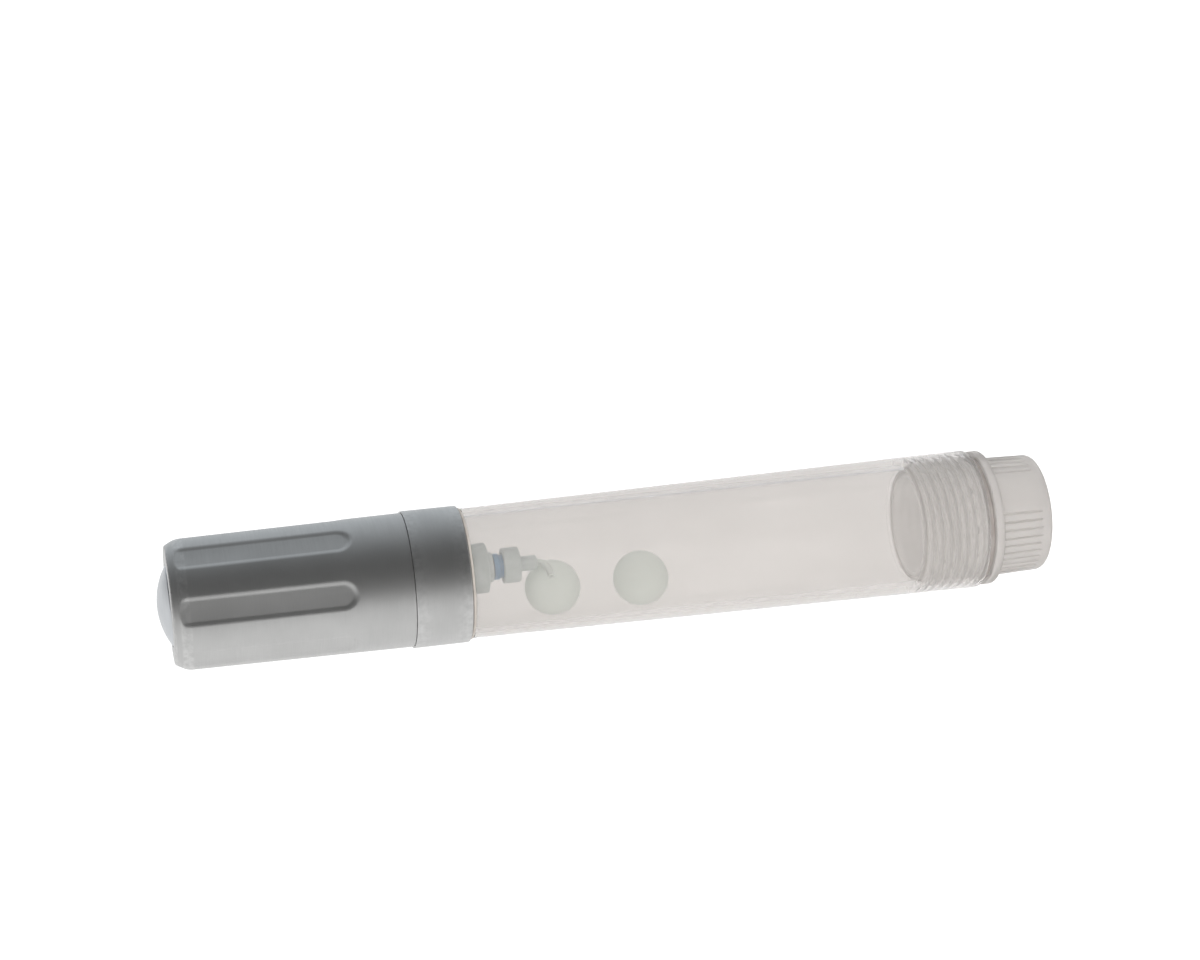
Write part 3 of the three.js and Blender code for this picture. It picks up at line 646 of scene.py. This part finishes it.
def valve_body():
    x0, x1 = span("valve_body")
    ring = span("stem_oring")
    outer = outer_radius("valve_body")
    return turned("valve_body_surface", [
        (x0, STEM_BORE_R), (x0, outer), (x1, outer), (x1, STEM_BORE_R),
        (ring[1] + GAP, STEM_BORE_R), (ring[1] + GAP, STEM_GROOVE_R),
        (ring[0] - GAP, STEM_GROOVE_R), (ring[0] - GAP, STEM_BORE_R),
    ], columns=96)


def poppet_seal():
    x0, x1 = span("poppet_seal")
    outer = outer_radius("poppet_seal")
    hole = span("dome_button")[1] + FACE_GAP
    return turned("poppet_seal_surface", [
        (hole, 0, 0), (hole, STEM_R + GAP), (x0, STEM_R + GAP), (x0, outer), (x1, outer, 0.5),
        (x1, 0, 0),
    ], closed=False, columns=64)


SEAL_STEPS = 20


def round_ring(node, columns=128):
    """A round-section seal ring, slightly squeezed, as wide as its CAD node is long. The CAD
    ring has a six-sided section, which stands sin 60 degrees of its half width off its middle."""
    x0, x1 = span(node)
    section = (x1 - x0) / 2
    radius = outer_radius(node) - section * math.sin(math.pi / 3)
    corners = []
    for k in range(SEAL_STEPS):
        turn = TURN * k / SEAL_STEPS
        corners.append(((x0 + x1) / 2 + section * math.cos(turn),
                        radius + section * SEAL_HEIGHT * math.sin(turn), 0))
    return turned(node + "_surface", corners, columns=columns)


SPRING_SIDES = 12
SPRING_STEPS = 48


def coil_spring():
    """The return spring: round wire on a helix, as long as its CAD node."""
    x0, x1 = span("button_spring")
    start = x0 + SPRING_WIRE_R
    pitch = (x1 - x0 - 2 * SPRING_WIRE_R) / SPRING_TURNS
    turn = np.linspace(0, TURN * SPRING_TURNS, SPRING_STEPS * SPRING_TURNS + 1)[:, None]
    around = np.arange(SPRING_SIDES)[None, :] * TURN / SPRING_SIDES
    radius = SPRING_R + SPRING_WIRE_R * np.cos(around)
    x = start + pitch * turn / TURN + SPRING_WIRE_R * np.sin(around)
    y = radius * np.cos(turn)
    z = radius * np.sin(turn)
    points = np.stack([x * MM, y * MM, z * MM + AXIS_Z], axis=2)
    name = "button_spring_surface"
    return finished(name, grid_mesh(name, points, closed_rows=False, capped=True))


# ---- adapter, collar and tube ------------------------------------------------------------------

def plain_ring(node, inner, ease=EASE, columns=160):
    """A plain ring that fills its CAD node's width and outer radius."""
    x0, x1 = span(node)
    outer = outer_radius(node)
    return turned(node + "_surface", [(x0, inner), (x0, outer), (x1, outer), (x1, inner)],
                  ease=ease, columns=columns, height=axis_height(node))


CLIP_EASE = 0.15
CLIP_STEPS = 160


def retaining_clip():
    """A snap ring, left open at the top as its CAD node is, with a slot of even width."""
    low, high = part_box("retaining_clip")
    outer = (high.y - low.y) / 2 / MM
    x0, x1 = span("retaining_clip")
    rows = traced([(x0, CLIP_INNER_R), (x0, outer), (x1, outer), (x1, CLIP_INNER_R)],
                  True, CLIP_EASE, plain_spacing)
    x, r = rows[:, :1], rows[:, 1:2]
    gap = np.arcsin(CLIP_SLOT / 2 / r)
    angle = TURN / 4 + gap + np.linspace(0, 1, CLIP_STEPS + 1)[None, :] * (TURN - 2 * gap)
    points = round_axis(x, r, angle, AXIS_Z)
    name = "retaining_clip_surface"
    return finished(name, grid_mesh(name, points, closed_columns=False, capped=True))


def collar():
    return turned("collar_surface", [
        (X_COLLAR - SEAM, COLLAR_BORE_R, SHARP),
        (X_COLLAR - SEAM, COLLAR_R, SHARP),
        (X_COLLAR_END, COLLAR_R, COLLAR_EDGE),
        (X_COLLAR_END, COLLAR_BORE_R, SHARP),
    ], columns=256)


def boss_relief(x, r, angle):
    thread = helix_rise(x, angle, span("adapter")[0], X_MOUTH, HEAD_PITCH, BOSS_WIDTHS)
    on_boss = (np.abs(r - BOSS_R) < NEAR) & (x < X_MOUTH)
    return np.where(on_boss, r + thread * (BOSS_THREAD_R - BOSS_R), r)


def boss_spacing(x, r):
    return COARSE_THREAD_STEP if abs(r - BOSS_R) < NEAR else PLAIN_STEP


def adapter():
    x_boss, x_nose = span("adapter")
    flange_r = outer_radius("adapter")
    nose_ring = span("nose_oring")
    groove_r = NOSE_R - NOSE_GROOVE_DEPTH
    return turned("adapter_surface", [
        (x_boss, PASSAGE_R),
        (x_boss, BOSS_R, 0.3),
        (X_COLLAR + GAP, BOSS_R),
        (X_COLLAR + GAP, flange_r),
        (X_SPIGOT - GAP, flange_r),
        (X_SPIGOT - GAP, NOSE_R),
        (nose_ring[0] - FACE_GAP, NOSE_R),
        (nose_ring[0] - FACE_GAP, groove_r),
        (nose_ring[1] + FACE_GAP, groove_r),
        (nose_ring[1] + FACE_GAP, NOSE_R),
        (x_nose, NOSE_R, 0.4),
        (x_nose, SHANK_R + GAP),
        (x_nose - SHANK_LENGTH - GAP, SHANK_R + GAP),
        (x_nose - SHANK_LENGTH - GAP, PASSAGE_R),
    ], columns=256, spacing=boss_spacing, relief=boss_relief)


def tube_relief(x, r, angle):
    thread = helix_rise(x, angle, X_NUT, X_TUBE_END + PLUG_PITCH, PLUG_PITCH, NUT_WIDTHS)
    inside = (r < NUT_THREAD_R) & (r >= NUT_R - NEAR) & (x > X_NUT)
    return np.where(inside, np.maximum(r, NUT_R + thread * (NUT_THREAD_R - NUT_R)), r)


def tube_frost(x, r, angle):
    """The tube's outside is scuffed, a little less over its thread, and its bore is clean."""
    outside = r > np.where(x < X_NUT, (BORE_BACK_R + TUBE_FRONT_R) / 2, NUT_THREAD_R + 0.5)
    return outside * np.where(x < X_NUT, 1, NUT_FROST)


def tube_spacing(x, r):
    return FINE_THREAD_STEP if NUT_R - SHARP < r < NUT_THREAD_R and x > X_NUT else LONG_STEP


def sample_tube():
    shoulder = span("tube_lip")[1] + FACE_GAP
    return turned("sample_tube_surface", [
        (X_SPIGOT, BORE_FRONT_R, SHARP),
        (X_SPIGOT, SPIGOT_R, SHARP),
        (shoulder, SPIGOT_R, 0),
        (shoulder, TUBE_FRONT_R),
        (X_TUBE_END, TUBE_BACK_R, 0.5),
        (X_TUBE_END, NUT_THREAD_R, 0),
        (X_TUBE_END - NUT_LEAD, NUT_R, 0),
        (X_NUT, NUT_R, 0),
        (X_NUT, BORE_BACK_R, 0),
    ], columns=320, spacing=tube_spacing, relief=tube_relief, frosted=tube_frost)


# ---- screw plug --------------------------------------------------------------------------------

def plug_relief(x, r, angle):
    """The plug's thread, and the grip grooves between the smooth panels of its knob."""
    thread = helix_rise(x, angle, X_PLUG + PLUG_LEAD, X_TUBE_END, PLUG_PITCH, PLUG_WIDTHS)
    threaded = (np.abs(r - PLUG_R) < NEAR) & (x < X_TUBE_END)
    # How far each place lies from its nearest groove, in steps from the panel's first groove.
    share = 360 / PANELS
    step = (share - PANEL_ANGLE) / (PANEL_GROOVES - 1)
    below_panel = np.mod(PANEL_PHASE - np.degrees(angle), share) / step
    nearest = np.clip(np.round(below_panel), 0, PANEL_GROOVES - 1)
    gap = np.minimum(np.abs(below_panel - nearest), share / step - below_panel)
    off = gap * math.radians(step) * KNOB_R
    across = smooth_step((GROOVE_WIDTH / 2 - off) / GROOVE_WALL)
    along = smooth_step((X_END - KNOB_RIM - x) / GROOVE_RUN_OUT + 0.5)
    on_knob = (x > X_KNOB + SHARP) & (r > CUP_R + GAP)
    depth = np.where(on_knob, across * along * GROOVE_DEPTH, 0)
    return np.where(threaded, r + thread * (PLUG_THREAD_R - PLUG_R), r - depth)


def plug_frost(x, r, angle):
    """Flange and knob are scuffed outside, and so is the mouth's rim; the thread's crests are
    darker and rougher.
    """
    outside = (x > X_FLANGE - FLANGE_SCUFF) & (r > CUP_R + GAP) | (x > X_END - SHARP)
    rim = (x < X_PLUG + PLUG_RIM) & (r > PLUG_R - PLUG_RIM)
    crest = ((r - PLUG_R) / (PLUG_THREAD_R - PLUG_R) - CREST_START) / (1 - CREST_START)
    # The crests are darker and rougher, which draws the thread's lines.
    recoloured = np.where(x < X_TUBE_END, CREST_DARKENING * smooth_step(crest), 0)
    return np.where(outside | rim, 1, recoloured)


def plug_spacing(x, r):
    if abs(r - PLUG_R) < NEAR and x < X_TUBE_END:
        return FINE_THREAD_STEP
    return KNOB_STEP if x > X_KNOB and r > KNOB_END_R - SHARP else LONG_STEP


def screw_plug():
    return turned("screw_plug_surface", [
        (X_END - CUP_WALL, 0, 0),
        (X_END - CUP_WALL, CUP_R, 0.8),
        (X_PLUG, CUP_R),
        (X_PLUG, PLUG_R, 0.4),
        (X_FLANGE, PLUG_R, SHARP),
        (X_FLANGE, FLANGE_R, 0.4),
        (X_KNOB, FLANGE_R, 0.5),
        (X_KNOB, KNOB_R, 0.3),
        (X_END, KNOB_END_R, KNOB_ROUND),
        (X_END, 0, 0),
    ], closed=False, columns=720, spacing=plug_spacing, relief=plug_relief,
        frosted=plug_frost)


# ---- hose fitting ------------------------------------------------------------------------------

def fitting_base():
    x0, x1 = span("fitting_base")
    seat = span("stub_hose")[0] - FACE_GAP
    base_r = outer_radius("fitting_base")
    flange = x1 - NECK_LENGTH
    return turned("fitting_base_surface", [
        (x0, STUB_BORE_R), (x0, SHANK_R), (flange - BASE_THICKNESS, SHANK_R),
        (flange - BASE_THICKNESS, base_r, 0.5), (flange, base_r, 0.5), (flange, NECK_R),
        (x1, NECK_R), (x1, STUB_R + GAP),
        (seat, STUB_R + GAP), (seat, STUB_BORE_R),
    ], columns=96, height=FITTING_Z)


def release_ring():
    x0, x1 = span("release_ring")
    ring_r = outer_radius("release_ring")
    bore = STUB_R + COLLET_GRIP
    return turned("release_ring_surface", [
        (x0, bore), (x0, ring_r), (x0 + RING_THICKNESS, ring_r), (x0 + RING_THICKNESS, COLLET_R),
        (x1, COLLET_R), (x1, bore),
    ], ease=0.2, columns=96, height=FITTING_Z)


def fitting_body():
    x0, x1 = span("fitting_body")
    body_r = outer_radius("fitting_body")
    nozzle_start = span("nozzle")[0] - FACE_GAP
    return turned("fitting_body_surface", [
        (x0, COLLET_R + GAP), (x0, body_r, 0.5), (x1, body_r, 0.5), (x1, NOZZLE_R + GAP),
        (nozzle_start, NOZZLE_R + GAP), (nozzle_start, COLLET_R + GAP),
    ], columns=96, height=FITTING_Z)


TIP_STEPS = 40
TIP_SIDES = 32


def nozzle_tip():
    """The soft tube in the nozzle, which bends beyond the nozzle's end."""
    x_nozzle = span("nozzle")[1]
    start = np.array([[span("nozzle_tip")[0], 0.0, 0.0]])
    bend = np.array(TIP_BEND, float) + np.array([x_nozzle, 0, 0])
    t = np.linspace(0, 1, TIP_STEPS)[:, None]
    curve = ((1 - t) ** 3 * bend[0] + 3 * t * (1 - t) ** 2 * bend[1]
             + 3 * t ** 2 * (1 - t) * bend[2] + t ** 3 * bend[3])
    path = np.concatenate([start, curve])
    ahead = np.gradient(path, axis=0)
    ahead /= np.linalg.norm(ahead, axis=1, keepdims=True)
    side = np.cross(ahead, [0.0, 0.0, 1.0])
    side /= np.linalg.norm(side, axis=1, keepdims=True)
    up = np.cross(side, ahead)
    turn = (np.arange(TIP_SIDES) * TURN / TIP_SIDES)[None, :, None]
    rim = side[:, None, :] * np.cos(turn) + up[:, None, :] * np.sin(turn)
    outer = path[:, None, :] + rim * TIP_R
    inner = (path[:, None, :] + rim * TIP_BORE_R)[::-1]
    points = np.concatenate([outer, inner]) * MM + np.array([0, 0, FITTING_Z])
    return finished("nozzle_tip_surface", grid_mesh("nozzle_tip_surface", points))


# ---- the probe ---------------------------------------------------------------------------------

def build_probe():
    dress(head_shell(), "head_shell")
    dress(dome_button(), "dome_button")
    dress(valve_body(), "valve_body")
    dress(poppet_seal(), "poppet_seal")
    dress(round_ring("stem_oring", 64), "stem_oring")
    spring = dress(coil_spring(), "button_spring")
    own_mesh(spring)
    dress(retaining_clip(), "retaining_clip")
    dress(plain_ring("head_washer", MOUTH_R, SHARP), "head_washer")
    dress(collar(), "collar")
    dress(adapter(), "adapter")
    dress(round_ring("head_oring"), "head_oring")
    dress(round_ring("nose_oring"), "nose_oring")
    dress(plain_ring("tube_lip", SPIGOT_R + GAP, 0.3), "tube_lip")
    dress(sample_tube(), "sample_tube")
    dress(plain_ring("plug_seal", PLUG_R + GAP, 0.3), "plug_seal", SEAL_RUBBER)
    dress(screw_plug(), "screw_plug", PLUG_PLASTIC)
    dress(fitting_base(), "fitting_base")
    dress(plain_ring("stub_hose", STUB_BORE_R, 0.2, 64), "stub_hose")
    dress(release_ring(), "release_ring")
    dress(fitting_body(), "fitting_body")
    dress(plain_ring("nozzle", TIP_R + GAP, 0.3, 64), "nozzle")
    dress(nozzle_tip(), "nozzle_tip", TIP_PLASTIC)
    dress(ball("ball_1"), "ball_1")
    dress(ball("ball_2"), "ball_2")


# ---- camera, table and light -------------------------------------------------------------------

CAMERA_DISTANCE = 0.690
CAMERA_PITCH = 26.8
CAMERA_YAW = 12.85
CAMERA_LENS = 79.5
CAMERA_SENSOR = 36
CAMERA_REACH = (0.01, 50)
CAMERA_AIM = Vector((-0.0004, 0.0093, 0.0365))


def add_camera():
    data = bpy.data.cameras.new("studio_camera")
    data.lens = CAMERA_LENS
    data.sensor_width = CAMERA_SENSOR
    data.clip_start, data.clip_end = CAMERA_REACH
    camera = bpy.data.objects.new("studio_camera", data)
    pitch, yaw = math.radians(CAMERA_PITCH), math.radians(CAMERA_YAW)
    ahead = Vector((math.sin(yaw) * math.cos(pitch), math.cos(yaw) * math.cos(pitch),
                    -math.sin(pitch)))
    camera.location = CAMERA_AIM - ahead * CAMERA_DISTANCE
    camera.rotation_euler = (math.radians(90) - pitch, 0, -yaw)
    bpy.context.scene.collection.objects.link(camera)
    bpy.context.scene.camera = camera


TABLE_SIZE = 30.0
TABLE_GLOW = 1.15
TABLE_SHADE = 0.08


def add_table():
    mesh = bpy.data.meshes.new("table")
    half = TABLE_SIZE / 2
    corners = [(-half, -half, 0), (half, -half, 0), (half, half, 0), (-half, half, 0)]
    mesh.from_pydata(corners, [], [(0, 1, 2, 3)])
    table = bpy.data.objects.new("table", mesh)
    bpy.context.scene.collection.objects.link(table)
    n = Finish("pale_table")
    n.set(Base_Color=(TABLE_SHADE, TABLE_SHADE, TABLE_SHADE, 1), Roughness=0.8,
          Specular_IOR_Level=0.1, Emission_Color=(1, 1, 1, 1), Emission_Strength=TABLE_GLOW)
    mesh.materials.append(n.material)


SOFTBOX_SIZE = (2.6, 2.0)
SOFTBOXES = (
    ("overhead_light", (0.0, 0.15, 1.25), 10.0),
    ("front_light", (0.0, -1.35, 0.75), 32.0),
)


def add_softbox(name, place, power):
    """A wide soft light turned towards the probe, which the metal doesn't mirror."""
    data = bpy.data.lights.new(name, "AREA")
    data.shape = "RECTANGLE"
    data.size, data.size_y = SOFTBOX_SIZE
    data.energy = power
    light = bpy.data.objects.new(name, data)
    light.location = place
    light.rotation_euler = Vector(place).to_track_quat("Z", "Y").to_euler()
    light.visible_glossy = False
    bpy.context.scene.collection.objects.link(light)


FRONT_ROOM = (0.14, 0.14, 0.14)
BACK_ROOM = (1.05, 1.12, 1.18)
LEFT_ROOM = (0.10, 0.10, 0.10)
BACKDROP = (1.0, 1.0, 1.0)
BACK_START, BACK_END = -0.35, 1.25  # along Y, where the room turns from dim to pale
LEFT_END, LEFT_START = -0.95, -0.35  # along X, where it turns dim again at the head's end


def add_room():
    """A room that is dim in front of the probe and pale behind it, seen as a white backdrop."""
    world = bpy.data.worlds.new("studio_room")
    bpy.context.scene.world = world
    n = NodeTree(world, "BACKGROUND", "Generated")
    axes = n.add("ShaderNodeSeparateXYZ")
    n.link(n.place, axes.inputs[0])
    back = n.ranged(axes.outputs["Y"], 0, 1, BACK_START, BACK_END, "SMOOTHSTEP")
    left = n.ranged(axes.outputs["X"], 1, 0, LEFT_END, LEFT_START, "SMOOTHSTEP")
    room = n.blended(left, n.blended(back, FRONT_ROOM, BACK_ROOM), LEFT_ROOM)
    seen = n.add("ShaderNodeLightPath").outputs["Is Camera Ray"]
    n.link(n.blended(seen, room, BACKDROP), n.shader.inputs["Color"])


add_camera()
build_probe()
add_table()
for softbox in SOFTBOXES:
    add_softbox(*softbox)
add_room()
bpy.context.scene.view_settings.view_transform = "Standard"
